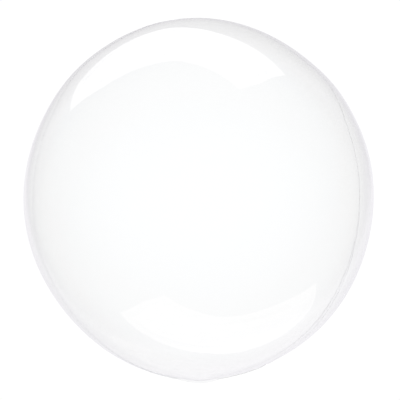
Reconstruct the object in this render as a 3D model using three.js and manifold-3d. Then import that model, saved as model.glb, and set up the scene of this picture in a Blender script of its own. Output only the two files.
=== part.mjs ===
// A clear bubble balloon, filled and lying loose on its back panel. Two round panels of clear
// stretch film are heat-welded to each other round the rim. The weld stands on a soft crest of
// the bag, in a shallow groove of its own, with a narrow flat fin on it. It puckers the film a
// little on both sides, and has the short trimmed stub of the filling neck on it.
// Millimetres, +Z up. The seam runs round the +Y and -Y sides at mid-height, wanders a little off
// its plane, and is turned about the Y axis, so that it rises towards -X. The neck stub points
// to -Y.
// The bag is sealed, so it is one closed solid. It rests on a small flat spot, where the film
// gives under its own weight.

import * as THREE from "three";
import { mergeVertices } from "three/addons/utils/BufferGeometryUtils.js";
import Module from "manifold-3d";

const toRadians = THREE.MathUtils.degToRad;

// The filled bag
const BAG_WIDTH = 500;
const BAG_DEPTH = 488; // across the seam plane, a little less than the width
const REST_SPOT_WIDTH = 90;
const SEAM_TURN = toRadians(24);

// The crest of the bag under the weld, and the shallow groove that the stiffer weld pulls in it
const CREST_HEIGHT = 6.5;
const CREST_REACH = 65;
const GROOVE_DEPTH = 0.9;
const GROOVE_REACH = 10;

// The welded fin, trimmed close nearly all round
const FIN_WIDTHS = [0.4, 5.2]; // where it is narrowest, and where it is widest
const FIN_WIDEST_BEARING = toRadians(-55);
const FIN_TAPER = 8; // the higher it is, the sooner the fin narrows away from its widest place
const FIN_THICKNESS = 1.2;

// The puckers beside the weld
const PUCKER_COUNT = 30;
const PUCKER_DEPTH = 0.35;
const PUCKER_REACH = 26;

// The trimmed filling neck
const NECK_BEARING = toRadians(-90);
const NECK_WIDTH = 58;
const NECK_LENGTH = 1.4; // beyond the fin
const NECK_THICKNESS = 2.4;
const NECK_DRAW = 2.8; // how far it draws the film out
const NECK_REACH = 25;
const NECK_SIDES = [0.1 * NECK_WIDTH, 0.6 * NECK_WIDTH]; // where each side eases in, from the middle

// The film is never stretched quite evenly: [waves round the rim, height, phase]
const SWELLS = [
  [2, 0.9, 2.2],
  [4, 0.7, 5.8],
  [5, 0.7, 3.8],
  [6, 0.5, 4.4],
];

// The weld wanders off its plane in places: [bearing, height angle]
const WANDERS = [
  [toRadians(42), toRadians(6.5)],
  [toRadians(62), toRadians(2.5)],
  [toRadians(135), toRadians(-3.5)],
];
const WANDER_REACH = toRadians(12);

// The mesh
const BEARING_STEPS = 120;
const PANEL_ROWS = 15; // from the seam to the middle of a panel
const ROW_CROWDING = 1.6; // over 1 puts the rows closer together near the seam
const SAME_POINT = 1e-4; // points closer than this are one

const FILM_COLOUR = 0xeef2f6;

// 1 in the middle of the neck, easing to 0 at its two sides
function neckShare(bearing) {
  const turn = Math.atan2(Math.sin(bearing - NECK_BEARING), Math.cos(bearing - NECK_BEARING));
  const across = Math.abs(turn) * (BAG_WIDTH / 2);
  return 1 - THREE.MathUtils.smoothstep(across, ...NECK_SIDES);
}

// How far the fin's trimmed edge stands out from the film
function finWidth(bearing) {
  const towardsWidest = (1 + Math.cos(bearing - FIN_WIDEST_BEARING)) / 2;
  const trimmed = THREE.MathUtils.lerp(...FIN_WIDTHS, towardsWidest ** FIN_TAPER);
  return trimmed + NECK_LENGTH * neckShare(bearing);
}

// How far round towards the front panel's middle the weld is pushed off its plane, as an angle
function seamWander(bearing) {
  return WANDERS.reduce(
    (sum, [at, size]) => sum + size * Math.exp((2 * (Math.cos(bearing - at) - 1)) / WANDER_REACH ** 2),
    0,
  );
}

// How far the film stands out from the plain round bag
function filmRelief(bearing, height) {
  const fromSeam = (Math.abs(height) * BAG_WIDTH) / 2;
  const crest = CREST_HEIGHT * Math.exp(-((fromSeam / CREST_REACH) ** 2));
  const groove = GROOVE_DEPTH * Math.exp(-fromSeam / GROOVE_REACH);
  const pucker = PUCKER_DEPTH * Math.exp(-fromSeam / PUCKER_REACH) * Math.cos(PUCKER_COUNT * bearing);
  const swell = SWELLS.reduce(
    (sum, [waves, size, phase]) => sum + size * Math.cos(waves * bearing + phase),
    0,
  );
  const drawn = NECK_DRAW * neckShare(bearing) * Math.exp(-((fromSeam / NECK_REACH) ** 2));
  return crest - groove + pucker + drawn + swell * Math.cos(height) ** 2;
}

// A point on the bag, from its bearing round the seam, its height angle over the seam and its
// distance out from the film
function bagPoint(bearing, height, standOff) {
  const radius = BAG_WIDTH / 2 + filmRelief(bearing, height) + standOff;
  const raised = height + seamWander(bearing) * Math.cos(height) ** 2;
  return new THREE.Vector3(
    radius * Math.cos(raised) * Math.cos(bearing),
    radius * Math.cos(raised) * Math.sin(bearing),
    radius * Math.sin(raised) * (BAG_DEPTH / BAG_WIDTH),
  );
}

// The height angles of one panel's rows, from just beside the fin to the row next to its middle
function panelHeights() {
  const beside = FIN_THICKNESS / BAG_WIDTH;
  const heights = [];
  for (let row = 0; row < PANEL_ROWS; row += 1) {
    heights.push(beside + (Math.PI / 2 - beside) * (row / PANEL_ROWS) ** ROW_CROWDING);
  }
  return heights;
}

// One ring of points round the bag for each row, from the back panel's middle to the front one's
function bagRings() {
  const heights = panelHeights();
  const bearings = Array.from(
    { length: BEARING_STEPS },
    (_, step) => (2 * Math.PI * step) / BEARING_STEPS,
  );
  const filmRing = (height) => bearings.map((bearing) => bagPoint(bearing, height, 0));
  const finTip = (side) =>
    bearings.map((bearing) => {
      const thickness = THREE.MathUtils.lerp(FIN_THICKNESS, NECK_THICKNESS, neckShare(bearing));
      return bagPoint(bearing, (side * thickness) / BAG_WIDTH, finWidth(bearing));
    });
  return [
    ...heights.map((height) => filmRing(-height)).reverse(),
    finTip(-1),
    finTip(1),
    ...heights.map(filmRing),
  ];
}

// Closes the rings into one surface that faces out
function closedSurface(rings) {
  const positions = rings.flat().flatMap((point) => point.toArray());
  const backMiddle = positions.length / 3;
  const frontMiddle = backMiddle + 1;
  positions.push(0, 0, -BAG_DEPTH / 2, 0, 0, BAG_DEPTH / 2);
  const faces = [];
  const last = rings.length - 1;
  for (let step = 0; step < BEARING_STEPS; step += 1) {
    const next = (step + 1) % BEARING_STEPS;
    faces.push(backMiddle, next, step);
    faces.push(frontMiddle, last * BEARING_STEPS + step, last * BEARING_STEPS + next);
    for (let ring = 0; ring < last; ring += 1) {
      const here = ring * BEARING_STEPS;
      const above = here + BEARING_STEPS;
      faces.push(here + step, here + next, above + next);
      faces.push(here + step, above + next, above + step);
    }
  }
  const geometry = new THREE.BufferGeometry();
  geometry.setAttribute("position", new THREE.Float32BufferAttribute(positions, 3));
  geometry.setIndex(faces);
  return geometry;
}

const wasm = await Module();
wasm.setup();

function toSolid(geometry) {
  const plain = geometry.clone();
  plain.deleteAttribute("normal");
  plain.deleteAttribute("uv");
  const merged = mergeVertices(plain, SAME_POINT);
  return new wasm.Manifold(
    new wasm.Mesh({
      numProp: 3,
      vertProperties: new Float32Array(merged.attributes.position.array),
      triVerts: new Uint32Array(merged.index.array),
    }),
  );
}

function toGeometry(solid) {
  const mesh = solid.getMesh();
  const geometry = new THREE.BufferGeometry();
  geometry.setAttribute("position", new THREE.BufferAttribute(mesh.vertProperties, 3));
  geometry.setIndex(new THREE.BufferAttribute(mesh.triVerts, 1));
  return geometry;
}

// Cuts the flat rest spot across the underside
function cutRestSpot(geometry) {
  geometry.computeBoundingBox();
  const reach = REST_SPOT_WIDTH / BAG_WIDTH;
  const spotHeight = geometry.boundingBox.min.z * Math.sqrt(1 - reach ** 2);
  const cutter = new THREE.BoxGeometry(BAG_WIDTH, BAG_WIDTH, BAG_WIDTH);
  cutter.translate(0, 0, spotHeight - BAG_WIDTH / 2);
  return toGeometry(toSolid(geometry).subtract(toSolid(cutter)));
}

// Puts the origin in the middle of the underside
function standOnOrigin(geometry) {
  geometry.computeBoundingBox();
  const { min, max } = geometry.boundingBox;
  geometry.translate(-(min.x + max.x) / 2, -(min.y + max.y) / 2, -min.z);
  return geometry;
}

function makeEnvelope() {
  const bag = closedSurface(bagRings());
  bag.rotateY(SEAM_TURN);
  const geometry = standOnOrigin(cutRestSpot(bag));
  geometry.computeVertexNormals();
  const film = new THREE.MeshStandardMaterial({
    color: FILM_COLOUR,
    roughness: 0.03,
    metalness: 0,
    transparent: true,
    opacity: 0.2,
  });
  const envelope = new THREE.Mesh(geometry, film);
  envelope.name = "balloon_envelope";
  return envelope;
}

const balloon = new THREE.Group();
balloon.add(makeEnvelope());

export default balloon;
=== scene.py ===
import functools
import math
import operator

import bmesh
import bpy
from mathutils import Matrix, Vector


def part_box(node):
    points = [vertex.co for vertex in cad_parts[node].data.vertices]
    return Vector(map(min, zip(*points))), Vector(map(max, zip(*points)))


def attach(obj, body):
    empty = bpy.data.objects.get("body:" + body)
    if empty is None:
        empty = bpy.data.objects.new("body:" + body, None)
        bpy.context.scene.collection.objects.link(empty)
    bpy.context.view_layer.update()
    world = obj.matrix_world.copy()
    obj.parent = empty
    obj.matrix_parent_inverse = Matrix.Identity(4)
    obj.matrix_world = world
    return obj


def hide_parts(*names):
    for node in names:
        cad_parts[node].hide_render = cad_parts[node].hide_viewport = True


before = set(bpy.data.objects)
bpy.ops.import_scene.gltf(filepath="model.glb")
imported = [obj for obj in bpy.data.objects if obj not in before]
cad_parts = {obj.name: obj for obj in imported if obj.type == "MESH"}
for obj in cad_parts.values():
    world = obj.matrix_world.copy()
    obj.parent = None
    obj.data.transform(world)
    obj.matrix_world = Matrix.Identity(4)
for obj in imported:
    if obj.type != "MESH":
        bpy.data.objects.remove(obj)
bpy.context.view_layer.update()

# ---------------------------------------------------------------------------------------------
# Studio. The balloon lies on a pale, evenly lit table before a light grey backdrop, and the
# camera looks straight down on it. The soft room round it and its one big softbox show in the
# film's reflections alone, as they stand out of the camera's sight.

BAG_WIDTH = 0.500
BAG_MIDDLE_HEIGHT = 0.240
CAMERA_DISTANCE = 6.0
CAMERA_ASIDE = (0.0014, 0.0009)
BAG_SHARE_OF_VIEW = 0.877


class Term:
    """One value in a node tree. Arithmetic on it adds Math nodes, so a formula reads as one."""

    def __init__(self, tree, socket):
        self.tree = tree
        self.socket = socket

    def math(self, operation, *others):
        node = self.tree.nodes.new("ShaderNodeMath")
        node.operation = operation
        for place, value in enumerate((self, *others)):
            if isinstance(value, Term):
                self.tree.links.new(value.socket, node.inputs[place])
            else:
                node.inputs[place].default_value = value
        return Term(self.tree, node.outputs[0])

    def __add__(self, other):
        return self.math("ADD", other)

    def __sub__(self, other):
        return self.math("SUBTRACT", other)

    def __mul__(self, other):
        return self.math("MULTIPLY", other)

    def __truediv__(self, other):
        return self.math("DIVIDE", other)

    def __neg__(self):
        return self.math("MULTIPLY", -1.0)


def mirrored(tree):
    """1 on a path that a surface has mirrored, and 0 on one that came straight or through film."""
    path = tree.nodes.new("ShaderNodeLightPath")
    return Term(tree, path.outputs["Glossy Depth"]).math("GREATER_THAN", 0.5)


def stage_surface(name, points, faces):
    mesh = bpy.data.meshes.new(name)
    mesh.from_pydata(points, [], faces)
    surface = bpy.data.objects.new(name, mesh)
    bpy.context.collection.objects.link(surface)
    material = bpy.data.materials.new(name)
    material.use_nodes = True
    material.cycles.emission_sampling = "NONE"
    material.node_tree.nodes.clear()
    mesh.materials.append(material)
    return surface


def glow(surface, strength, share):
    """Lights a stage surface where share is 1, and takes it out of sight where share is 0."""
    tree = surface.data.materials[0].node_tree
    light = tree.nodes.new("ShaderNodeEmission")
    tree.links.new(strength.socket, light.inputs["Strength"])
    mix = tree.nodes.new("ShaderNodeMixShader")
    tree.links.new(share.socket, mix.inputs[0])
    tree.links.new(tree.nodes.new("ShaderNodeBsdfTransparent").outputs[0], mix.inputs[1])
    tree.links.new(light.outputs[0], mix.inputs[2])
    tree.links.new(mix.outputs[0], tree.nodes.new("ShaderNodeOutputMaterial").inputs["Surface"])


# The table is brightest under the balloon, and falls off to the backdrop's grey far behind it.
TABLE_REACH = 30.0
TABLE_HEIGHT = -0.0005
TABLE_GLOW = 1.03
BACKDROP_GLOW = 0.72
BRIGHT_REACH = 0.42
FALL_OFF = 0.8
table = stage_surface(
    "table",
    [(x * TABLE_REACH, y * TABLE_REACH, TABLE_HEIGHT) for x, y in ((-1, -1), (1, -1), (1, 1), (-1, 1))],
    [(0, 1, 2, 3)],
)
table_tree = table.data.materials[0].node_tree
far_out = table_tree.nodes.new("ShaderNodeVectorMath")
far_out.operation = "LENGTH"
table_tree.links.new(table_tree.nodes.new("ShaderNodeNewGeometry").outputs["Position"], far_out.inputs[0])
fallen = (Term(table_tree, far_out.outputs["Value"]) - BRIGHT_REACH).math("MAXIMUM", 0.0) / FALL_OFF
fading = (-(fallen * fallen)).math("EXPONENT")
table_glow = fading * (TABLE_GLOW - BACKDROP_GLOW) + BACKDROP_GLOW
glow(table, table_glow, -mirrored(table_tree) + 1.0)

# The softbox faces the balloon from beyond its far side and from below the table's level. Its
# outline is given as shares of its distance, across and up its face, and its light fades out
# over a border.
SOFTBOX_GLOW = 1.2
SOFTBOX_DISTANCE = 1.5
SOFTBOX_ASIDE = math.radians(-10)
SOFTBOX_RISE = math.radians(-20)
SOFTBOX_BORDER = 0.14
SOFTBOX_OUTLINE = (
    (0.86, -0.12),
    (0.82, 0.40),
    (0.70, 0.64),
    (0.05, 0.23),
    (-0.55, 0.08),
    (-0.78, -0.02),
    (-0.55, -0.21),
    (0.02, -0.29),
)


def bordered(outline, border):
    """The outline moved in by half the border, and then moved out by half of it."""
    corners = [Vector(corner) for corner in outline]
    inner = []
    outer = []
    for place, corner in enumerate(corners):
        before = (corner - corners[place - 1]).normalized()
        after = (corners[(place + 1) % len(corners)] - corner).normalized()
        aside = Vector((before.y + after.y, -before.x - after.x)) / (1 + before.dot(after))
        inner.append(corner + aside * border / 2)
        outer.append(corner - aside * border / 2)
    return inner, outer


def make_softbox():
    level = math.cos(SOFTBOX_RISE)
    outward = Vector(
        (level * math.sin(SOFTBOX_ASIDE), level * math.cos(SOFTBOX_ASIDE), math.sin(SOFTBOX_RISE))
    )
    across = outward.cross(Vector((0, 0, 1))).normalized()
    up = across.cross(outward)
    middle = Vector((0, 0, BAG_MIDDLE_HEIGHT)) + outward * SOFTBOX_DISTANCE
    inner, outer = bordered(SOFTBOX_OUTLINE, SOFTBOX_BORDER)
    points = [middle + (across * spot.x + up * spot.y) * SOFTBOX_DISTANCE for spot in inner + outer]
    count = len(inner)
    faces = [tuple(range(count))]
    for place in range(count):
        after = (place + 1) % count
        faces.append((place, after, count + after, count + place))
    softbox = stage_surface("softbox", points, faces)
    lit = softbox.data.attributes.new("lit", "FLOAT", "POINT")
    lit.data.foreach_set("value", [1.0] * count + [0.0] * count)
    tree = softbox.data.materials[0].node_tree
    lit_share = tree.nodes.new("ShaderNodeAttribute")
    lit_share.attribute_name = "lit"
    share = Term(tree, lit_share.outputs["Fac"])
    glow(softbox, mirrored(tree) * SOFTBOX_GLOW, mirrored(tree) * share)


make_softbox()

# The room is palest round the pool of light under the table, and greyest at the table's level.
# Each row is how far a direction is turned towards that pool, 0 to 1, its brightness and its tint.
POOL_DIRECTION = (0, -0.50, -0.87)
PALE_CYAN = (0.93, 1.0, 1.03)
PLAIN = (1.0, 1.0, 1.0)
PALE_VIOLET = (0.99, 0.975, 1.01)
ROOM_LIGHT = (
    (0.00, 0.88, PALE_CYAN),
    (0.16, 0.88, PALE_CYAN),
    (0.42, 0.72, PALE_CYAN),
    (0.50, 0.65, PALE_CYAN),
    (0.62, 0.58, PLAIN),
    (0.80, 0.65, PLAIN),
    (0.84, 0.68, PALE_VIOLET),
    (0.87, 0.74, PALE_VIOLET),
    (0.89, 0.84, PALE_VIOLET),
    (0.91, 0.93, PALE_VIOLET),
    (0.95, 0.92, PALE_VIOLET),
    (1.00, 0.96, PALE_VIOLET),
)

world = bpy.data.worlds.new("room")
bpy.context.scene.world = world
world.use_nodes = True
world.cycles.sampling_method = "NONE"
room = world.node_tree
room.nodes.clear()
backdrop = room.nodes.new("ShaderNodeBackground")
backdrop.inputs["Color"].default_value = (BACKDROP_GLOW, BACKDROP_GLOW, BACKDROP_GLOW, 1)
surroundings = room.nodes.new("ShaderNodeBackground")
towards = room.nodes.new("ShaderNodeVectorMath")
towards.operation = "DOT_PRODUCT"
room.links.new(room.nodes.new("ShaderNodeTexCoord").outputs["Generated"], towards.inputs[0])
towards.inputs[1].default_value = Vector(POOL_DIRECTION).normalized()
ramp = room.nodes.new("ShaderNodeValToRGB")
room.links.new((Term(room, towards.outputs["Value"]) * 0.5 + 0.5).socket, ramp.inputs[0])
stops = ramp.color_ramp.elements
for place, (turned, brightness, tint) in enumerate(ROOM_LIGHT):
    stop = stops[place] if place < len(stops) else stops.new(turned)
    stop.position = turned
    stop.color = (*(Vector(tint) * brightness), 1)
room.links.new(ramp.outputs[0], surroundings.inputs["Color"])
room_mix = room.nodes.new("ShaderNodeMixShader")
room.links.new(mirrored(room).socket, room_mix.inputs[0])
room.links.new(backdrop.outputs[0], room_mix.inputs[1])
room.links.new(surroundings.outputs[0], room_mix.inputs[2])
room.links.new(room_mix.outputs[0], room.nodes.new("ShaderNodeOutputWorld").inputs["Surface"])

# Light that skims the rim runs on inside the film for many reflections before it leaves.
FILM_REFLECTIONS = 32
bpy.context.scene.cycles.max_bounces = FILM_REFLECTIONS
bpy.context.scene.cycles.glossy_bounces = FILM_REFLECTIONS
bpy.context.scene.cycles.transmission_bounces = FILM_REFLECTIONS

camera = bpy.data.objects.new("camera", bpy.data.cameras.new("camera"))
bpy.context.collection.objects.link(camera)
bag_spread = math.tan(math.asin(BAG_WIDTH / 2 / CAMERA_DISTANCE))
camera.data.lens = camera.data.sensor_width / 2 * BAG_SHARE_OF_VIEW / bag_spread
camera.location = (*CAMERA_ASIDE, BAG_MIDDLE_HEIGHT + CAMERA_DISTANCE)
bpy.context.scene.camera = camera
bpy.context.scene.view_settings.view_transform = "Standard"

# ---------------------------------------------------------------------------------------------
# Balloon envelope. Two round panels of clear stretch film, blown up to a near-sphere, heat-welded
# round the rim in a narrow milky fin with a melted bead on its edge. The fin stands in a shallow
# groove on a soft crest, puckers the film beside it, and has the trimmed filling neck on it.

BAG_DEPTH = 0.488
SEAM_TURN = math.radians(24)
FILM_THICKNESS = 0.0003
FIN_WIDTHS = (0.0004, 0.0052)  # where it is narrowest, and where it is widest
FIN_WIDEST_BEARING = math.radians(-55)
FIN_TAPER = 8
FIN_THICKNESS = 0.00025
BEAD_WIDTH = 0.0009
BEAD_THICKNESS = 0.0008
MOST_BEAD_SHARE = 0.5  # of the fin's width
NECK_BEARING = math.radians(-90)
NECK_WIDTH = 0.058
NECK_LENGTH = 0.0014
NECK_THICKNESS = 0.0009
NECK_SIDES = (0.1 * NECK_WIDTH, 0.6 * NECK_WIDTH)  # where each side eases in, from the middle
BEARING_STEPS = 320
PANEL_ROWS = 68
ROW_CROWDING = 1.5  # over 1 puts the rows closer together near the seam

RELIEF = {
    "Crest Height": 0.0065,
    "Crest Reach": 0.065,
    "Groove Depth": 0.0009,
    "Groove Reach": 0.010,
    "Pucker Count": 30.0,
    "Pucker Depth": 0.00035,
    "Pucker Reach": 0.026,
    "Pucker Patches": 3.0,
    "Neck Draw": 0.0028,
    "Neck Reach": 0.025,
    "Bag Radius": BAG_WIDTH / 2,
    "Depth Share": BAG_DEPTH / BAG_WIDTH,
    "Seam Turn": SEAM_TURN,
}
# The weld wanders off its plane in places: bearing, and height angle.
WANDERS = (
    (math.radians(42), math.radians(6.5)),
    (math.radians(62), math.radians(2.5)),
    (math.radians(135), math.radians(-3.5)),
)
WANDER_REACH = math.radians(12)
# The film is never stretched quite evenly: waves round the rim, height, and phase.
SWELLS = ((2, 0.0009, 2.2), (4, 0.0007, 5.8), (5, 0.0007, 3.8), (6, 0.0005, 4.4))
FILM_TINT = (1.0, 1.0, 1.0)
FILM_CLEARNESS = 1.0
FILM_ROUGHNESS = 0.0
FILM_IOR = 1.5
WELD_TINT = (0.99, 0.985, 0.99)
WELD_CLEARNESS = 0.96
WELD_ROUGHNESS = 0.1


def smoothstep(value, low, high):
    share = min(max((value - low) / (high - low), 0), 1)
    return share * share * (3 - 2 * share)


def neck_share(bearing):
    """1 in the middle of the neck, easing to 0 at its two edges."""
    turn = math.atan2(math.sin(bearing - NECK_BEARING), math.cos(bearing - NECK_BEARING))
    return 1 - smoothstep(abs(turn) * BAG_WIDTH / 2, *NECK_SIDES)


def panel_heights(beside):
    """The height angles of one panel's rows over the seam plane, closer together near the seam."""
    return [
        beside + (math.pi / 2 - beside) * (row / PANEL_ROWS) ** ROW_CROWDING
        for row in range(PANEL_ROWS)
    ]


def add_wall(plain, rings, outward, welded=range(0)):
    """Adds one closed wall of the bag: rings of (height angle, distance out), and two middles.
    The rings numbered in welded bound the fin, whose corners are sharp."""
    stand_off = plain.verts.layers.float["stand_off"]
    neck = plain.verts.layers.float["neck"]
    weld = plain.faces.layers.bool["weld"]

    def point(bearing, height, out):
        level = math.cos(height)
        spot = Vector((level * math.cos(bearing), level * math.sin(bearing), math.sin(height)))
        made = plain.verts.new(spot * (BAG_WIDTH / 2))
        made[stand_off] = out
        made[neck] = neck_share(bearing)
        return made

    bearings = [2 * math.pi * step / BEARING_STEPS for step in range(BEARING_STEPS)]
    made = [[point(bearing, *ring(bearing)) for bearing in bearings] for ring in rings]
    depth = rings[0](0)[1]
    back = point(0, -math.pi / 2, depth)
    front = point(0, math.pi / 2, depth)

    def face(*corners):
        return plain.faces.new(corners if outward else corners[::-1])

    for step in range(BEARING_STEPS):
        after = (step + 1) % BEARING_STEPS
        face(back, made[0][after], made[0][step])
        face(front, made[-1][step], made[-1][after])
        for ring in range(len(made) - 1):
            lower, upper = made[ring], made[ring + 1]
            side = face(lower[step], lower[after], upper[after], upper[step])
            side[weld] = ring in welded and ring + 1 in welded
        for ring in welded:
            plain.edges.get((made[ring][step], made[ring][after])).smooth = False


def film_row(height, out):
    return lambda bearing: (height, out)


def fin_row(side, into_bead, swollen):
    """A row of the fin, a given share of the bead's width inside the cut edge. The melted bead is
    slighter where the fin is trimmed close."""
    def row(bearing):
        neck = neck_share(bearing)
        towards_widest = (1 + math.cos(bearing - FIN_WIDEST_BEARING)) / 2
        narrowest, widest = FIN_WIDTHS
        width = narrowest + (widest - narrowest) * towards_widest**FIN_TAPER + NECK_LENGTH * neck
        bead = min(1, MOST_BEAD_SHARE * width / BEAD_WIDTH)
        fin_thickness = FIN_THICKNESS + (BEAD_THICKNESS - FIN_THICKNESS) * bead * swollen
        thickness = fin_thickness + (NECK_THICKNESS - fin_thickness) * neck
        return side * thickness / BAG_WIDTH, width - BEAD_WIDTH * bead * into_bead

    return row


def fin_rows(side):
    """The fin on one side, from the film to its edge: flat web, crown of the bead, cut edge."""
    return [fin_row(side, 1, 0), fin_row(side, 0.5, 1), fin_row(side, 0, 0)]


def plain_bag():
    """The bag as a plain ball with its fin marked, in the seam's own frame."""
    mesh = bpy.data.meshes.new("balloon_film")
    plain = bmesh.new()
    plain.verts.layers.float.new("stand_off")
    plain.verts.layers.float.new("neck")
    plain.faces.layers.bool.new("weld")
    heights = panel_heights(FIN_THICKNESS / BAG_WIDTH)
    outer = [film_row(-height, 0) for height in reversed(heights)]
    outer += fin_rows(-1) + fin_rows(1)[::-1]
    outer += [film_row(height, 0) for height in heights]
    add_wall(plain, outer, outward=True, welded=range(PANEL_ROWS - 1, len(outer) - PANEL_ROWS + 1))
    inner_heights = panel_heights(0)
    inner = [film_row(-height, -FILM_THICKNESS) for height in reversed(inner_heights[1:])]
    inner += [film_row(height, -FILM_THICKNESS) for height in inner_heights]
    add_wall(plain, inner, outward=False)
    plain.to_mesh(mesh)
    plain.free()
    for polygon in mesh.polygons:
        polygon.use_smooth = True
    bag = bpy.data.objects.new("balloon_film", mesh)
    bpy.context.collection.objects.link(bag)
    return bag


def separated(tree, socket):
    split = tree.nodes.new("ShaderNodeSeparateXYZ")
    tree.links.new(socket, split.inputs[0])
    return [Term(tree, out) for out in split.outputs]


def combined(tree, x, y, z):
    join = tree.nodes.new("ShaderNodeCombineXYZ")
    for place, term in enumerate((x, y, z)):
        if isinstance(term, Term):
            tree.links.new(term.socket, join.inputs[place])
        else:
            join.inputs[place].default_value = term
    return join.outputs[0]


def sum_of(terms):
    return functools.reduce(operator.add, terms)


def filled_bag_tree():
    """Geometry Nodes that blow the plain ball up into the filled bag, and lay it on the table."""
    tree = bpy.data.node_groups.new("filled_bag", "GeometryNodeTree")
    nodes = tree.nodes
    link = tree.links.new
    tree.interface.new_socket("Geometry", in_out="INPUT", socket_type="NodeSocketGeometry")
    tree.interface.new_socket("Geometry", in_out="OUTPUT", socket_type="NodeSocketGeometry")
    for name in RELIEF:
        tree.interface.new_socket(name, in_out="INPUT", socket_type="NodeSocketFloat")
    tree.interface.new_socket("Top Height", in_out="INPUT", socket_type="NodeSocketFloat")
    tree.interface.new_socket("Film", in_out="INPUT", socket_type="NodeSocketMaterial")
    tree.interface.new_socket("Weld", in_out="INPUT", socket_type="NodeSocketMaterial")
    given = nodes.new("NodeGroupInput")
    size = {name: Term(tree, given.outputs[name]) for name in RELIEF}

    def marked(name, kind):
        attribute = nodes.new("GeometryNodeInputNamedAttribute")
        attribute.data_type = kind
        attribute.inputs["Name"].default_value = name
        return Term(tree, attribute.outputs["Attribute"])

    stand_off = marked("stand_off", "FLOAT")
    neck = marked("neck", "FLOAT")
    x, y, z = separated(tree, nodes.new("GeometryNodeInputPosition").outputs[0])
    bearing = y.math("ARCTAN2", x)
    height = (z / size["Bag Radius"]).math("ARCSINE")
    from_seam = height.math("ABSOLUTE") * size["Bag Radius"]

    def fading(reach):
        return (-(from_seam / size[reach])).math("EXPONENT")

    def rounded(reach):
        away = from_seam / size[reach]
        return (-(away * away)).math("EXPONENT")

    crest = size["Crest Height"] * rounded("Crest Reach")
    groove = size["Groove Depth"] * fading("Groove Reach")
    noise = nodes.new("ShaderNodeTexNoise")
    noise.noise_dimensions = "2D"
    link(size["Pucker Patches"].socket, noise.inputs["Scale"])
    link(combined(tree, bearing.math("COSINE"), bearing.math("SINE"), 0.0), noise.inputs["Vector"])
    here_and_there = Term(tree, noise.outputs[0])
    folds = ((bearing + here_and_there) * size["Pucker Count"]).math("COSINE")
    pucker = size["Pucker Depth"] * fading("Pucker Reach") * folds * here_and_there
    swell = sum_of((bearing * float(waves) + phase).math("COSINE") * high for waves, high, phase in SWELLS)
    drawn = neck * rounded("Neck Reach") * size["Neck Draw"]
    level = height.math("COSINE")
    wander = sum_of(
        (((bearing - at).math("COSINE") - 1.0) * (2.0 / WANDER_REACH**2)).math("EXPONENT") * turned
        for at, turned in WANDERS
    )
    raised = height + wander * level * level
    out = size["Bag Radius"] + crest - groove + pucker + drawn + swell * level * level + stand_off
    across = out * raised.math("COSINE")
    blown = combined(
        tree,
        across * bearing.math("COSINE"),
        across * bearing.math("SINE"),
        out * raised.math("SINE") * size["Depth Share"],
    )

    turn = nodes.new("ShaderNodeVectorRotate")
    turn.rotation_type = "Y_AXIS"
    link(blown, turn.inputs["Vector"])
    link(size["Seam Turn"].socket, turn.inputs["Angle"])
    blow_up = nodes.new("GeometryNodeSetPosition")
    link(given.outputs["Geometry"], blow_up.inputs["Geometry"])
    link(turn.outputs[0], blow_up.inputs["Position"])

    extent = nodes.new("GeometryNodeBoundBox")
    link(blow_up.outputs[0], extent.inputs[0])
    low = separated(tree, extent.outputs["Min"])
    high = separated(tree, extent.outputs["Max"])
    top = Term(tree, given.outputs["Top Height"])
    shift = combined(tree, -(low[0] + high[0]) / 2.0, -(low[1] + high[1]) / 2.0, top - high[2])
    lay_down = nodes.new("GeometryNodeSetPosition")
    link(blow_up.outputs[0], lay_down.inputs["Geometry"])
    link(shift, lay_down.inputs["Offset"])

    here = separated(tree, nodes.new("GeometryNodeInputPosition").outputs[0])
    least = (-stand_off).math("MAXIMUM", 0.0)
    flatten = nodes.new("GeometryNodeSetPosition")
    link(lay_down.outputs[0], flatten.inputs["Geometry"])
    link(combined(tree, here[0], here[1], here[2].math("MAXIMUM", least)), flatten.inputs["Position"])

    realize = nodes.new("GeometryNodeRealizeInstances")
    link(flatten.outputs[0], realize.inputs[0])
    film = nodes.new("GeometryNodeSetMaterial")
    link(realize.outputs[0], film.inputs["Geometry"])
    link(given.outputs["Film"], film.inputs["Material"])
    weld = nodes.new("GeometryNodeSetMaterial")
    link(film.outputs[0], weld.inputs["Geometry"])
    link(marked("weld", "BOOLEAN").socket, weld.inputs["Selection"])
    link(given.outputs["Weld"], weld.inputs["Material"])
    link(weld.outputs[0], nodes.new("NodeGroupOutput").inputs[0])
    return tree


def clear_material(name, tint, clearness, roughness):
    """Clear plastic: see-through by plain values."""
    material = bpy.data.materials.new(name)
    material.use_nodes = True
    shader = material.node_tree.nodes["Principled BSDF"]
    shader.inputs["Base Color"].default_value = (*tint, 1)
    shader.inputs["Transmission Weight"].default_value = clearness
    shader.inputs["IOR"].default_value = FILM_IOR
    shader.inputs["Roughness"].default_value = roughness
    return material


def made_plain(piece):
    """The piece with its modifiers' result as a plain mesh of its own."""
    seen = piece.evaluated_get(bpy.context.evaluated_depsgraph_get())
    mesh = bpy.data.meshes.new_from_object(seen)
    piece.modifiers.clear()
    piece.data = mesh
    return piece


def blown_up(bag):
    tree = filled_bag_tree()
    inputs = {item.name: item.identifier for item in tree.interface.items_tree}
    modifier = bag.modifiers.new("filled_bag", "NODES")
    modifier.node_group = tree
    for name, value in RELIEF.items():
        modifier[inputs[name]] = value
    modifier[inputs["Top Height"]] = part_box("balloon_envelope")[1].z
    modifier[inputs["Film"]] = clear_material(
        "stretch_film", FILM_TINT, FILM_CLEARNESS, FILM_ROUGHNESS
    )
    modifier[inputs["Weld"]] = clear_material(
        "milky_weld", WELD_TINT, WELD_CLEARNESS, WELD_ROUGHNESS
    )
    return made_plain(bag)


balloon_film = blown_up(plain_bag())
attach(balloon_film, "root")
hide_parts("balloon_envelope")
